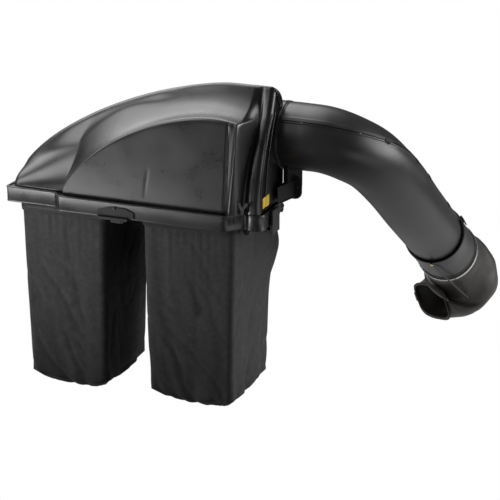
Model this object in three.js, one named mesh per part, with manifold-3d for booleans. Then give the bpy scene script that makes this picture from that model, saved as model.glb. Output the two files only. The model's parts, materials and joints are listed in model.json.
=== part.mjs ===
// Twin-bag grass collector for a ride-on mower: a lifting hood over two hanging bags, fed by a moulded chute.
// Millimetres, +Z up. The group is worked out in the collector's own layout, where X runs along the hood
// (+X towards the chute), Y = 0 is the rim's rear face and +Y points at the mower, and Z = 0 is the rim's top.
// The last group moves all of it so that the origin is the middle of the hitch plate's front face.
import * as THREE from "three";
import { mergeVertices } from "three/addons/utils/BufferGeometryUtils.js";
import Module from "manifold-3d";

const wasm = await Module();
wasm.setup();

// ---- driving dimensions ----
const GAP = 0.5; // clearance between neighbouring pieces
const TAU = Math.PI * 2;

// rim, the moulded skirt round the hood's foot
const RIM = { left: -541, right: 520, far: 475, drop: 62, wall: 4, ledge: 52, corner: 10, rightCorner: 28 };
const MAIN_LEFT = -310; // middle of the slanted jog at the left
const MAIN_RIGHT = 381;
const END_RECESS = 45; // the rear face steps back this far at the right end
const LEFT_RECESS = 40;

// dome
const DOME = { left: -520, right: 507, ledge: 10, far: 462, wall: 4 };
const RIDGE = { top: 450, y: 210, flatFrom: 330, reach: 890 };
const PANEL = { left: -290, right: 396, foot: 22, lean: 12, top: 354, peak: 326, reach: 616 };

// hinge between the hood and the frame
const HINGE = { y: 488, z: -31, pin: 5, at: [-300, 300] };

// inlet and chute
const INLET = { y: 325, z: 238, hoodFace: 516, chuteFace: 524 };
const CHUTE = { start: 127, end: 116, wall: 4, cover: 0.88 };

// bags and the rails they slide on
const BAGS = {
  left: { x0: -484, x1: -114 },
  right: { x0: 32, x1: 418 },
};
const BAG = { near: 36, far: 452, top: -79, bottom: -758, sag: 32, wall: 5, lean: 16, corner: 22 };
const LOOP = { z: -74, rod: 5, corner: 32 };
const RAIL = { near: 64, top: -66.5 };

// frame
const TUBE = { cross: 14, upright: 16, z: -104, y: 470, left: -488, right: 438, sideZ: -85 };
const HITCH = { y: 540, z: -400, wide: 220, high: 150, thick: 8 };

// ---- materials ----
const plastic = (color, roughness) => new THREE.MeshStandardMaterial({ color, roughness, metalness: 0 });
const metal = (color, roughness) => new THREE.MeshStandardMaterial({ color, roughness, metalness: 0.8 });
const MAT = {
  hood: plastic(0x141414, 0.45),
  chute: plastic(0x161616, 0.42),
  trim: plastic(0x101010, 0.55),
  fabric: new THREE.MeshStandardMaterial({ color: 0x121212, roughness: 0.95 }),
  rubber: plastic(0x15110f, 0.6),
  frame: new THREE.MeshStandardMaterial({ color: 0x151515, roughness: 0.5, metalness: 0.4 }),
  zinc: metal(0xb8b8b4, 0.35),
  brass: metal(0xa8844a, 0.35),
  label: plastic(0xe8b21a, 0.5),
};

// ---- small maths ----
const clamp01 = (v) => Math.min(1, Math.max(0, v));
const smooth = (lo, hi, v) => {
  const t = clamp01((v - lo) / (hi - lo));
  return t * t * (3 - 2 * t);
};
const mix = (a, b, t) => a + (b - a) * t;
const V = (x, y, z) => new THREE.Vector3(x, y, z);
const range = (n) => [...Array(n).keys()];

// ---- solids ----
// A closed surface from a grid of points. wrapU and wrapV close the grid's rows and columns on themselves.
function gridFaces(rows, cols, wrapU, wrapV) {
  const faces = [];
  for (let j = 0; j < (wrapU ? rows : rows - 1); j++) {
    for (let i = 0; i < (wrapV ? cols : cols - 1); i++) {
      const a = j * cols + i;
      const b = j * cols + ((i + 1) % cols);
      const c = ((j + 1) % rows) * cols + ((i + 1) % cols);
      const d = ((j + 1) % rows) * cols + i;
      faces.push(a, b, c, a, c, d);
    }
  }
  return faces;
}

function geometryOf(points, faces) {
  const g = new THREE.BufferGeometry();
  g.setAttribute("position", new THREE.Float32BufferAttribute(points.flatMap((p) => [p.x, p.y, p.z]), 3));
  g.setIndex(faces);
  return outward(g);
}

// Turns a closed geometry's faces round if they point in.
function outward(g) {
  const p = g.getAttribute("position");
  const index = g.index.array;
  let volume = 0;
  const a = V(0, 0, 0);
  const b = V(0, 0, 0);
  const c = V(0, 0, 0);
  for (let i = 0; i < index.length; i += 3) {
    a.fromBufferAttribute(p, index[i]);
    b.fromBufferAttribute(p, index[i + 1]);
    c.fromBufferAttribute(p, index[i + 2]);
    volume += a.dot(b.cross(c));
  }
  if (volume < 0) {
    const turned = Array.from(index);
    for (let i = 0; i < turned.length; i += 3) [turned[i + 1], turned[i + 2]] = [turned[i + 2], turned[i + 1]];
    g.setIndex(turned);
  }
  return g;
}

// A solid skinned over closed rings, with a fan over each end.
function loft(rings) {
  const cols = rings[0].length;
  const points = rings.flat();
  const faces = gridFaces(rings.length, cols, false, true);
  for (const [row, turned] of [[0, true], [rings.length - 1, false]]) {
    const centre = rings[row].reduce((s, p) => s.add(p), V(0, 0, 0)).divideScalar(cols);
    const hub = points.push(centre) - 1;
    for (let i = 0; i < cols; i++) {
      const p = row * cols + i;
      const q = row * cols + ((i + 1) % cols);
      if (turned) faces.push(hub, q, p);
      else faces.push(hub, p, q);
    }
  }
  return geometryOf(points, faces);
}

// A solid skinned over closed rings that themselves run round a closed path.
const hoop = (rings) => geometryOf(rings.flat(), gridFaces(rings.length, rings[0].length, true, true));

// A sheet of some thickness: an outer and an inner grid of points, joined along every open edge.
function shell(outer, inner, wrap) {
  const rings = outer.map((row, j) => [...row, ...[...inner[j]].reverse()]);
  if (!wrap) {
    const cols = rings[0].length;
    const half = outer[0].length;
    const faces = gridFaces(rings.length, cols, false, true);
    for (const [row, turned] of [[0, true], [rings.length - 1, false]]) {
      for (let i = 0; i < half - 1; i++) {
        const a = row * cols + i;
        const b = a + 1;
        const c = row * cols + (cols - 2 - i);
        const d = row * cols + (cols - 1 - i);
        if (turned) faces.push(a, d, b, b, d, c);
        else faces.push(a, b, d, b, c, d);
      }
    }
    return geometryOf(rings.flat(), faces);
  }
  const loops = [...outer, ...[...inner].reverse()];
  return hoop(loops);
}

function solid(geometry) {
  const g = new THREE.BufferGeometry();
  const source = geometry.index ? geometry.toNonIndexed() : geometry;
  g.setAttribute("position", source.getAttribute("position"));
  const m = mergeVertices(g, 1e-3);
  return new wasm.Manifold(
    new wasm.Mesh({
      numProp: 3,
      vertProperties: m.getAttribute("position").array,
      triVerts: new Uint32Array(m.index.array),
    }),
  );
}

function fromSolid(s) {
  const m = s.getMesh();
  const g = new THREE.BufferGeometry();
  g.setAttribute("position", new THREE.BufferAttribute(m.vertProperties, 3));
  g.setIndex(new THREE.BufferAttribute(m.triVerts, 1));
  return g;
}

const join = (...parts) => fromSolid(parts.map(solid).reduce((a, b) => a.add(b)));
const cut = (body, ...tools) => fromSolid(tools.map(solid).reduce((a, b) => a.subtract(b), solid(body)));

const box = (x0, x1, y0, y1, z0, z1) =>
  new THREE.BoxGeometry(x1 - x0, y1 - y0, z1 - z0).translate((x0 + x1) / 2, (y0 + y1) / 2, (z0 + z1) / 2);

// A cylinder from one point to another.
function rod(from, to, radius, sides = 12) {
  const along = to.clone().sub(from);
  const g = new THREE.CylinderGeometry(radius, radius, along.length(), sides);
  g.applyQuaternion(new THREE.Quaternion().setFromUnitVectors(V(0, 1, 0), along.clone().normalize()));
  const middle = from.clone().add(to).multiplyScalar(0.5);
  return g.translate(middle.x, middle.y, middle.z);
}

// A flat ring plate or washer round an axis along X.
function ringX(x0, x1, inner, outer, y, z, sides = 32) {
  const ring = (x, r) => range(sides).map((i) => V(x, y + r * Math.cos((i / sides) * TAU), z + r * Math.sin((i / sides) * TAU)));
  return hoop([ring(x0, outer), ring(x1, outer), ring(x1, inner), ring(x0, inner)]);
}

// A plate cut to a 2-D outline and given a thickness, in the plane that turn puts it in.
function plate(outline, thick, holes = []) {
  const shape = new THREE.Shape(outline.map(([x, y]) => new THREE.Vector2(x, y)));
  for (const [x, y, r] of holes) shape.holes.push(new THREE.Path().absarc(x, y, r, 0, TAU, true));
  return new THREE.ExtrudeGeometry(shape, { depth: thick, bevelEnabled: false, curveSegments: 8 });
}

// Rings of a given radius along a path of points, with a frame that doesn't twist.
function sweepRings(path, radiusAt, sides, closed, start = V(0, 0, 1)) {
  const n = path.length;
  const along = path[1].clone().sub(path[0]).normalize();
  let normal = Math.abs(along.dot(start)) > 0.9 ? V(1, 0, 0) : start.clone();
  return path.map((p, j) => {
    const back = path[closed ? (j + n - 1) % n : Math.max(0, j - 1)];
    const next = path[closed ? (j + 1) % n : Math.min(n - 1, j + 1)];
    const tangent = next.clone().sub(back).normalize();
    normal = normal.sub(tangent.clone().multiplyScalar(normal.dot(tangent))).normalize();
    const side = tangent.clone().cross(normal);
    const r = radiusAt(j / (n - 1));
    return range(sides).map((i) => {
      const a = (i / sides) * TAU;
      return p.clone().addScaledVector(normal, r * Math.cos(a)).addScaledVector(side, r * Math.sin(a));
    });
  });
}

// ---- hood: rim and dome ----
// The rim's rear face in plan: recessed at the left, forward in the middle, stepped back at the right.
function rimNear(x) {
  const left = LEFT_RECESS * (1 - smooth(MAIN_LEFT - 22, MAIN_LEFT + 22, x));
  const right = mix(0, END_RECESS, smooth(MAIN_RIGHT, MAIN_RIGHT + 56, x));
  const valley = 14 * Math.exp(-(((x - 446) / 16) ** 2));
  return left + right + valley;
}

// The far side runs straight, then rounds off towards the inlet.
const ROUND = { x: 330, y: 120 };
function farCurve(x, right, far) {
  if (x < ROUND.x) return far;
  const t = clamp01((x - ROUND.x) / (right - ROUND.x));
  return ROUND.y + (far - ROUND.y) * Math.sqrt(1 - t * t);
}

const VALLEY_X = 446; // the rear face's valley between the panel and the right end

// The rim's outline in plan, drawn in by some distance, anticlockwise from above from the rear face's left end.
function rimOutline(by) {
  const points = [];
  const left = RIM.left + by;
  const right = RIM.right - by;
  const far = RIM.far - by;
  const arc = (cx, cy, r, degrees) => {
    for (const a of degrees) {
      const t = (a * Math.PI) / 180;
      points.push([cx + r * Math.cos(t), cy + r * Math.sin(t)]);
    }
  };
  const corner = Math.max(1, RIM.corner - by);
  arc(left + corner, LEFT_RECESS + by + corner, corner, [180, 210, 240, 270]);
  for (const x of [-400, -332, -318, -302, -288, -100, 120, 300, 381, 400, 419, 433, 446, 460, 476, 488]) {
    const beyond = Math.max(0, x - VALLEY_X) * (by / (RIM.right - VALLEY_X));
    points.push([x - beyond, rimNear(x) + by]);
  }
  const turn = Math.max(2, RIM.rightCorner - by);
  arc(right - turn, END_RECESS + by + turn, turn, [-60, -30, 0]);
  for (const a of range(9).map((i) => (i * Math.PI) / 16)) {
    points.push([ROUND.x + (right - ROUND.x) * Math.cos(a), ROUND.y + (far - ROUND.y) * Math.sin(a)]);
  }
  for (const x of [120, -100, -300]) points.push([x, far]);
  arc(left + corner, far - corner, corner, [90, 120, 150]);
  return points;
}

function makeRim() {
  const levels = [
    [0, -RIM.drop],
    [0, -6],
    [3, 0],
    [RIM.ledge, 0],
    [RIM.ledge, -RIM.wall],
    [RIM.wall, -RIM.wall - 3],
    [RIM.wall, -RIM.drop],
  ];
  const rings = levels.map(([by, z]) => rimOutline(by).map(([x, y]) => V(x, y, z)));
  return hoop(rings);
}

const ridgeHeight = (x) => {
  const t = clamp01((RIDGE.flatFrom - x) / RIDGE.reach);
  return RIDGE.top * (1 - t ** 1.5) ** 0.66;
};

const panelHeight = (x) => {
  if (x > PANEL.peak) return PANEL.top - 0.0012 * (x - PANEL.peak) ** 2;
  const t = clamp01((PANEL.peak - x) / PANEL.reach);
  return PANEL.top * (1 - t ** 1.8) ** 0.7;
};

// How much of the rear bump-out is there at x: all of it along the panel, none at either end.
const bump = (x) => smooth(PANEL.left - 5, PANEL.left + 5, x) * (1 - smooth(PANEL.right, PANEL.right + 44, x));

// The dome's height at a place on its top, for a station x. The bump-out carries the rear panel's top edge.
function domeHeight(x, y, near, far) {
  const ridge = ridgeHeight(x);
  const spineY = Math.min(RIDGE.y, near + 0.6 * (far - near));
  const square = smooth(0, 350, x);
  if (y > spineY) {
    const u = Math.min(1, (y - spineY) / (far - spineY));
    const power = mix(2.2, 5, square);
    const fall = Math.min(0.34, (0.5 * ridge) / (far - spineY));
    return (ridge - fall * (y - spineY)) * (1 - u ** power) ** (1 / power);
  }
  const across = Math.min(1, (spineY - y) / (spineY - near));
  const lobe = 0.82 * ridge * Math.sqrt(1 - across ** 2) + 0.18 * ridge * smooth(0.5, 1, 1 - across);
  const b = bump(x);
  if (b <= 0) return lobe;
  const start = PANEL.foot + PANEL.lean;
  const rise = clamp01((y - start) / (spineY - start)) ** mix(1, 2.2, smooth(0, 450, x));
  const shelf = mix(panelHeight(x), ridge, rise);
  return mix(lobe, Math.max(lobe, shelf), b);
}

// Where the dome's plain foot stands on the rim: it runs straight past the jog at the left.
const domeFoot = (x) => (x < 0 ? LEFT_RECESS : rimNear(x)) + DOME.ledge;

// One closed section of the dome at station x, shrunk by t all round, standing on the level base.
function domeSection(x, t, base) {
  const b = bump(x);
  const end = 25 - Math.sqrt(Math.max(0, 25 ** 2 - Math.max(0, x - (DOME.right - 25)) ** 2));
  const corner = 30 - Math.sqrt(Math.max(0, 30 ** 2 - Math.max(0, DOME.left + 30 - x) ** 2));
  const plain = domeFoot(x) + end + corner;
  const foot = mix(plain, PANEL.foot, b);
  const start = mix(plain, PANEL.foot + PANEL.lean, b);
  const far = farCurve(x, DOME.right + 3, DOME.far) - corner;
  const wall = b * (panelHeight(x) - end);
  const drop = end + t;
  const low = GAP + 1;
  const points = [V(x, foot + t, base), V(x, mix(foot, start, 0.5) + t, Math.max(low, wall / 2 - t / 2))];
  const steps = 20;
  for (let i = 0; i <= steps; i++) {
    const y = (start + far) / 2 - ((far - start) / 2) * Math.cos((i / steps) * Math.PI);
    const inner = (start + far) / 2 - ((far - start) / 2 - t) * Math.cos((i / steps) * Math.PI);
    const edge = i === 0 ? wall - t : 0;
    const z = i === 0 || i === steps ? edge : domeHeight(x, y, start, far) - drop;
    points.push(V(x, inner, Math.max(low + i * 0.01 + 0.5, z)));
  }
  points.push(V(x, far - t, base));
  return points;
}

function makeDome() {
  const stations = [
    -520, -516, -508, -490, -455, -415, -370, -330, -300, -295, -292, -288, -285, -270, -240, -200, -150, -95, -35, 35, 110, 190, 270,
    340, 396, 408, 418, 428, 440, 456, 472, 482, 492, 499, 504, 507,
  ];
  const outer = loft(stations.map((x) => domeSection(x, 0, GAP)));
  const scale = (DOME.right - DOME.left - 2 * DOME.wall) / (DOME.right - DOME.left);
  const inner = loft(
    stations.map((x) => {
      const moved = DOME.left + DOME.wall + (x - DOME.left) * scale;
      return domeSection(moved, DOME.wall, -10);
    }),
  );
  const neck = rod(V(345, INLET.y, INLET.z), V(INLET.hoodFace, INLET.y, INLET.z), CHUTE.start + 1, 40);
  const bore = rod(V(365, INLET.y, INLET.z), V(INLET.hoodFace + 5, INLET.y, INLET.z), CHUTE.start - CHUTE.wall, 40);
  return fromSolid(solid(outer).add(solid(neck)).subtract(solid(inner)).subtract(solid(bore)));
}

// ---- chute ----
// The chute leaves the hood level, swings forward beside the wheel and drops towards the cutting deck.
const chutePath = new THREE.CatmullRomCurve3(
  [
    [524, 325, 238],
    [575, 325, 238],
    [665, 330, 233],
    [741, 362, 203],
    [808, 446, 138],
    [847, 600, 13],
    [868, 800, -147],
    [889, 1100, -367],
    [892, 1190, -431],
  ].map((p) => V(...p)),
  false,
  "catmullrom",
  0.5,
);
const CHUTE_STEPS = 26;
const chutePoints = range(CHUTE_STEPS + 1).map((i) => chutePath.getPointAt(i / CHUTE_STEPS));
const chuteRadius = (t) => mix(CHUTE.start, CHUTE.end, t);

// Rings round the chute between two angles from its top, for a share of its length.
function chuteRings(offset, from, to, steps, first = 0, last = CHUTE_STEPS) {
  const frames = chuteFrames();
  return range(last - first + 1).map((k) => {
    const { p, up, side, t } = frames[first + k];
    return range(steps + 1).map((i) => {
      const a = mix(from, to, i / steps);
      const r = chuteRadius(t) + offset;
      return p.clone().addScaledVector(up, r * Math.cos(a)).addScaledVector(side, r * Math.sin(a));
    });
  });
}

// At each step along the chute: the point, and the directions up and to its outer side.
function chuteFrames() {
  return chutePoints.map((p, j) => {
    const t = j / CHUTE_STEPS;
    const tangent = chutePath.getTangentAt(t);
    if (j <= 1) tangent.set(1, 0, 0);
    const side = tangent.clone().cross(V(0, 0, 1)).normalize();
    const up = side.clone().cross(tangent).normalize();
    return { p, up, side, tangent, t };
  });
}

function makeChuteHalves() {
  const seam = CHUTE.cover;
  const play = 0.004;
  const cover = shell(
    chuteRings(0, -seam + play, seam - play, 7),
    chuteRings(-CHUTE.wall, -seam + play, seam - play, 7),
    false,
  );
  const body = shell(
    chuteRings(0, seam + play, TAU - seam - play, 18),
    chuteRings(-CHUTE.wall, seam + play, TAU - seam - play, 18),
    false,
  );
  return { cover, body };
}

// A little spring clip that bridges the seam.
function seamClip(step, side) {
  const { p, up, side: out, tangent, t } = chuteFrames()[step];
  const r = chuteRadius(t) + 3.4;
  const a = side * CHUTE.cover;
  const g = new THREE.BoxGeometry(26, 16, 5);
  const normal = up.clone().multiplyScalar(Math.cos(a)).addScaledVector(out, Math.sin(a));
  const across = normal.clone().cross(tangent);
  const m = new THREE.Matrix4().makeBasis(tangent, across, normal);
  m.setPosition(p.clone().addScaledVector(normal, r + 0.4));
  return g.applyMatrix4(m);
}

// ---- lower end: collar, clamp band, boot ----
const chuteEnd = chutePath.getPointAt(1);
const endTangent = chutePath.getTangentAt(1);
const endSide = endTangent.clone().cross(V(0, 0, 1)).normalize();
const endUp = endSide.clone().cross(endTangent).normalize();
const atEnd = (along, side, up) =>
  chuteEnd.clone().addScaledVector(endTangent, along).addScaledVector(endSide, side).addScaledVector(endUp, up);

// A circle of points round the chute's lower axis.
const endRing = (along, r, sides = 28) =>
  range(sides).map((i) => atEnd(along, r * Math.sin((i / sides) * TAU), r * Math.cos((i / sides) * TAU)));
const endTube = (from, to, inner, outer) =>
  hoop([endRing(from, outer), endRing(to, outer), endRing(to, inner), endRing(from, inner)]);

const COLLAR = { from: -178, to: 36, inner: CHUTE.end + 5, outer: CHUTE.end + 9 };
const BAND = { from: 46, to: 64, inner: 128.6, outer: 131 };

// The boot turns the air path down and inwards to the deck: round at the top, a wide rounded mouth below.
function bootRing(centre, normal, halfWide, halfHigh, power, sides = 24) {
  const n = normal.clone().normalize();
  const wide = V(0, 1, 0).addScaledVector(n, -n.y).normalize();
  const high = n.clone().cross(wide);
  return range(sides).map((i) => {
    const a = (i / sides) * TAU;
    const c = Math.cos(a);
    const s = Math.sin(a);
    const k = (Math.abs(c) ** power + Math.abs(s) ** power) ** (-1 / power);
    return centre.clone().addScaledVector(wide, halfWide * k * c).addScaledVector(high, halfHigh * k * s);
  });
}

// A boot section given by its inner and outer edge in (x, z), its middle's y and how far it's turned towards -Y.
function bend([x0, z0], [x1, z1], y, degrees, halfWide, power) {
  const high = V(x1 - x0, 0, z1 - z0).normalize();
  const turn = (degrees * Math.PI) / 180;
  const facing = V(high.z * Math.cos(turn), -Math.sin(turn), -high.x * Math.cos(turn));
  return [V((x0 + x1) / 2, y, (z0 + z1) / 2), facing, halfWide, Math.hypot(x1 - x0, z1 - z0) / 2, power];
}

function bootStations(t) {
  const list = [
    [atEnd(38, 0, 0), endTangent, 127, 127, 2],
    [atEnd(76, 0, 0), endTangent, 127, 127, 2],
    [atEnd(150, 4, 0), endTangent, 130, 131, 2],
    bend([772, -535], [1046, -584], 1362, -53, 136, 2.1),
    bend([772, -560], [1062, -652], 1392, -42, 140, 2.3),
    bend([775, -586], [1043, -718], 1400, -18, 140, 2.6),
    bend([776, -614], [962, -790], 1392, 5, 136, 2.9),
    bend([768, -650], [852, -814], 1370, 25, 130, 3),
  ];
  return list.map(([c, n, w, h, p]) => bootRing(c, n, w - t, h - t, p));
}

const makeBoot = () => shell(bootStations(0), bootStations(5), true);

// Places on the lower end's outside: how far along, the angle from its top towards its outer side, and the radius.
const onEnd = (along, degrees, r) => {
  const a = (degrees * Math.PI) / 180;
  return atEnd(along, r * Math.sin(a), r * Math.cos(a));
};

// Moves a piece drawn with +X along the chute, +Y across it and +Z outwards to such a place.
function seatOnEnd(g, along, degrees, r) {
  const outwards = onEnd(along, degrees, 1).sub(atEnd(along, 0, 0));
  const across = outwards.clone().cross(endTangent);
  const m = new THREE.Matrix4().makeBasis(endTangent, across, outwards).setPosition(onEnd(along, degrees, r));
  return g.applyMatrix4(m);
}

// Over-centre catch that holds the collar on the chute.
const CATCH = { along: -150, angle: 52 };
function makeCollarLatch() {
  const lever = new THREE.BoxGeometry(46, 30, 5).translate(0, 0, 7.5);
  const toe = new THREE.BoxGeometry(12, 30, 9).translate(-17, 0, 4.6);
  return seatOnEnd(join(lever, toe), CATCH.along, CATCH.angle, COLLAR.outer);
}

const SCREW = { along: 55, angle: 300 };
function makeClampBand() {
  const lug = seatOnEnd(new THREE.BoxGeometry(16, 14, 12).translate(0, 0, 5), SCREW.along, SCREW.angle, BAND.outer);
  return join(endTube(BAND.from, BAND.to, BAND.inner, BAND.outer), lug);
}
function makeClampScrew() {
  const shank = rod(V(0, 7.4, 7.5), V(0, 22, 7.5), 3, 12);
  const wing = new THREE.BoxGeometry(20, 12, 2.4).translate(0, 27, 7.5);
  return seatOnEnd(join(shank, wing), SCREW.along, SCREW.angle, BAND.outer);
}

// Stay rod that hooks the boot up: an eye round a screw at the collar, a straight run and a J at the end.
const STAY = { from: -172, fromAngle: 172, to: 212, toAngle: 150, toRadius: 172, rod: 3.5, eye: 8, turn: 8 };
function makeStayRod() {
  const first = onEnd(STAY.from, STAY.fromAngle, COLLAR.outer + 6);
  const last = onEnd(STAY.to, STAY.toAngle, STAY.toRadius);
  const along = last.clone().sub(first).normalize();
  const outwards = last.clone().sub(atEnd(STAY.to, 0, 0)).normalize();
  const inner = along.clone().cross(outwards).normalize();
  const path = [first.clone().addScaledVector(along, STAY.eye - 1), last];
  for (const k of range(6)) {
    const a = ((k + 1) * Math.PI) / 6;
    const across = STAY.turn * (1 - Math.cos(a));
    path.push(last.clone().addScaledVector(inner, across).addScaledVector(along, STAY.turn * Math.sin(a)));
  }
  const eye = ringX(-3, 3, 4, STAY.eye, 0, 0, 16).rotateY(-Math.PI / 2);
  return join(
    loft(sweepRings(path, () => STAY.rod, 8, false)),
    seatOnEnd(eye, STAY.from, STAY.fromAngle, COLLAR.outer + 6),
  );
}
function makeStayScrew() {
  const shank = rod(V(0, 0, 0.5), V(0, 0, 11), 3.4, 12);
  const head = rod(V(0, 0, 9.6), V(0, 0, 13), 6.5, 12);
  return seatOnEnd(join(shank, head), STAY.from, STAY.fromAngle, COLLAR.outer);
}

// Pull tab on the far lip of the boot's mouth.
function makeBootTab() {
  const lips = bootStations(0).at(-1);
  const [lip, quarter, opposite] = [lips[0], lips[6], lips[12]];
  const wide = lip.clone().sub(opposite).normalize();
  const high = quarter.clone().sub(lip.clone().add(opposite).multiplyScalar(0.5)).normalize();
  const facing = wide.clone().cross(high);
  const tab = new THREE.BoxGeometry(14, 44, 14).translate(-5, 0, 7.6);
  return tab.applyMatrix4(new THREE.Matrix4().makeBasis(wide, high, facing).setPosition(lip));
}

// ---- chute support beside the rim ----
const SUPPORT = { near: 194, plate: 310, top: 72, low: 2, face: 522.5 };
function makeSupportBox() {
  const outline = [
    [SUPPORT.face, SUPPORT.near],
    [SUPPORT.face + 2, SUPPORT.near],
    [549, SUPPORT.plate - GAP],
    [SUPPORT.face, SUPPORT.plate - GAP],
  ];
  return plate(outline, SUPPORT.top - SUPPORT.low).translate(0, 0, SUPPORT.low);
}

// An upright flange with its free corners rounded.
function makeSupportFlange() {
  const corner = 25;
  const outline = [[SUPPORT.face, -5]];
  for (const [cx, cy, from] of [[575 - corner, -5 + corner, -90], [575 - corner, 85 - corner, 0]]) {
    for (const k of range(4)) {
      const a = ((from + 30 * k) * Math.PI) / 180;
      outline.push([cx + corner * Math.cos(a), cy + corner * Math.sin(a)]);
    }
  }
  outline.push([SUPPORT.face, 85]);
  return plate(outline, 8, [[560, 40, 4]]).rotateX(Math.PI / 2).translate(0, SUPPORT.plate + 8, 0);
}

// The cradle the chute's level first length turns in.
function makeSaddle() {
  const block = join(
    box(526, 544, 246, 404, 90, 168),
    box(526, 544, 246, SUPPORT.plate - GAP, SUPPORT.top + GAP, 100),
    box(526, 544, SUPPORT.plate + 8 + GAP, 404, 20, 100),
  );
  return cut(block, rod(V(500, INLET.y, INLET.z), V(560, INLET.y, INLET.z), CHUTE.start + 1.5, 48));
}

const SIDE_X = 438; // the tube that runs back under the rim's right side to carry the arm
const SIDE_RADIUS = 13;
function makeSupportArm() {
  const upright = box(524, 534, 120, 190, -90, 1);
  const under = box(SIDE_X + SIDE_RADIUS + GAP, 534, 136, 176, -90, -80);
  return join(upright, under);
}

// ---- bags ----
// A rounded rectangle of points in plan at height z.
function planRing(x0, x1, y0, y1, corner, z, per = 3) {
  const points = [];
  const corners = [
    [x1 - corner, y0 + corner, -90],
    [x1 - corner, y1 - corner, 0],
    [x0 + corner, y1 - corner, 90],
    [x0 + corner, y0 + corner, 180],
  ];
  for (const [cx, cy, from] of corners) {
    for (let k = 0; k <= per; k++) {
      const a = ((from + (90 * k) / per) * Math.PI) / 180;
      points.push(V(cx + corner * Math.cos(a), cy + corner * Math.sin(a), z));
    }
  }
  return points;
}

// An open-topped bag that narrows towards its sagging bottom.
function makeBag({ x0, x1 }) {
  const rail = 7; // the fabric hangs just inside the rod loop's outline
  const ring = (share, t) => {
    const z = mix(BAG.top, BAG.bottom, share);
    const pull = 16 * Math.sin(share * Math.PI * 0.5);
    const left = x0 + rail + pull * 0.5 + t;
    const right = x1 - rail - pull - t;
    return planRing(left, right, BAG.near + rail + t, BAG.far - rail - BAG.lean * share - t, BAG.corner - t, z);
  };
  const shares = [0, 0.25, 0.5, 0.75, 1];
  const outer = shares.map((s) => ring(s, 0));
  const inner = shares.map((s) => ring(s, BAG.wall));
  const bottom = (rings, z) => {
    const last = rings[rings.length - 1];
    const centre = last.reduce((s, p) => s.add(p), V(0, 0, 0)).divideScalar(last.length);
    return last.map((p) => V(mix(p.x, centre.x, 0.35), mix(p.y, centre.y, 0.35), z));
  };
  outer.push(bottom(outer, BAG.bottom - BAG.sag));
  for (const p of inner[inner.length - 1]) p.z += BAG.wall;
  inner.push(bottom(inner, BAG.bottom - BAG.sag + BAG.wall));
  const hollow = loft([inner[0].map((p) => V(p.x, p.y, p.z + 20)), ...inner]);
  return cut(loft(outer), hollow);
}

function makeLoop({ x0, x1 }) {
  const path = planRing(x0 + LOOP.rod, x1 - LOOP.rod, BAG.near + LOOP.rod, BAG.far - LOOP.rod, LOOP.corner, LOOP.z, 4);
  const loop = hoop(sweepRings(path, () => LOOP.rod, 8, true));
  const middle = (x0 + x1) / 2;
  const grip = rod(V(middle, BAG.near + LOOP.rod, LOOP.z), V(middle, BAG.far - LOOP.rod, LOOP.z), LOOP.rod - 1, 8);
  return join(loop, grip);
}

// An angle-iron rail: an upright leg outside the loop and a flange under it. side is -1 or 1 for the leg's side.
function makeRail(x, side) {
  const flangeTop = LOOP.z - LOOP.rod - GAP;
  const inner = x - side * 6;
  const low = Math.min(x + side * 4, inner);
  const high = Math.max(x + side * 4, inner);
  const leg = [x + side * 1.2, x + side * 4].sort((a, b) => a - b);
  return join(
    box(low, high, RAIL.near, TUBE.y - 6, flangeTop - 3, flangeTop),
    box(leg[0], leg[1], RAIL.near, TUBE.y - 6, flangeTop - 1, RAIL.top),
    box(low, high, TUBE.y - 22, TUBE.y - 6, TUBE.z + TUBE.cross + GAP, flangeTop - 1),
  );
}

// ---- frame ----
function makeHitchPlate() {
  const { wide, high, thick } = HITCH;
  const outline = [
    [-wide / 2, -high / 2],
    [wide / 2, -high / 2],
    [wide / 2, high / 2],
    [-wide / 2, high / 2],
  ];
  const holes = [-1, 1].flatMap((a) => [-1, 1].map((b) => [(a * wide) / 3, (b * high) / 3, 6.5]));
  return plate(outline, thick, holes).rotateX(Math.PI / 2).translate(0, HITCH.y, HITCH.z);
}

function hingeBracket(x) {
  const outline = [
    [TUBE.y - 10, -86],
    [TUBE.y + 18, -86],
    [HINGE.y + 12, HINGE.z - 4],
    [HINGE.y + 8, HINGE.z + 10],
    [HINGE.y - 8, HINGE.z + 10],
    [HINGE.y - 9.5, HINGE.z - 8],
    [HINGE.y - 9.5, -70],
    [TUBE.y - 10, -70],
  ];
  const ear = (at) => turnToX(plate(outline, 5, [[HINGE.y, HINGE.z, HINGE.pin + GAP]]), at);
  const base = box(x - 22, x + 22, TUBE.y - 10, TUBE.y + 18, -89, -84);
  return join(ear(x - 22), ear(x + 17), base);
}

// Puts a plate drawn in (y, z) upright at x: its extrusion runs along +X.
function turnToX(g, x) {
  const m = new THREE.Matrix4().set(0, 0, 1, x, 1, 0, 0, 0, 0, 1, 0, 0, 0, 0, 0, 1);
  return g.applyMatrix4(m);
}

// The hood's half of a hinge: a plate on the far skirt and a knuckle round the pin.
function hingeLeaf(x) {
  const knuckle = ringX(x - 14, x + 14, HINGE.pin + GAP, HINGE.pin + 5, HINGE.y, HINGE.z, 16);
  const leaf = box(x - 14, x + 14, RIM.far + GAP, RIM.far + 4, -50, -12);
  const web = box(x - 14, x + 14, RIM.far + 3, HINGE.y - HINGE.pin - 2, HINGE.z - 3, HINGE.z + 3);
  return join(leaf, web, knuckle);
}

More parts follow.
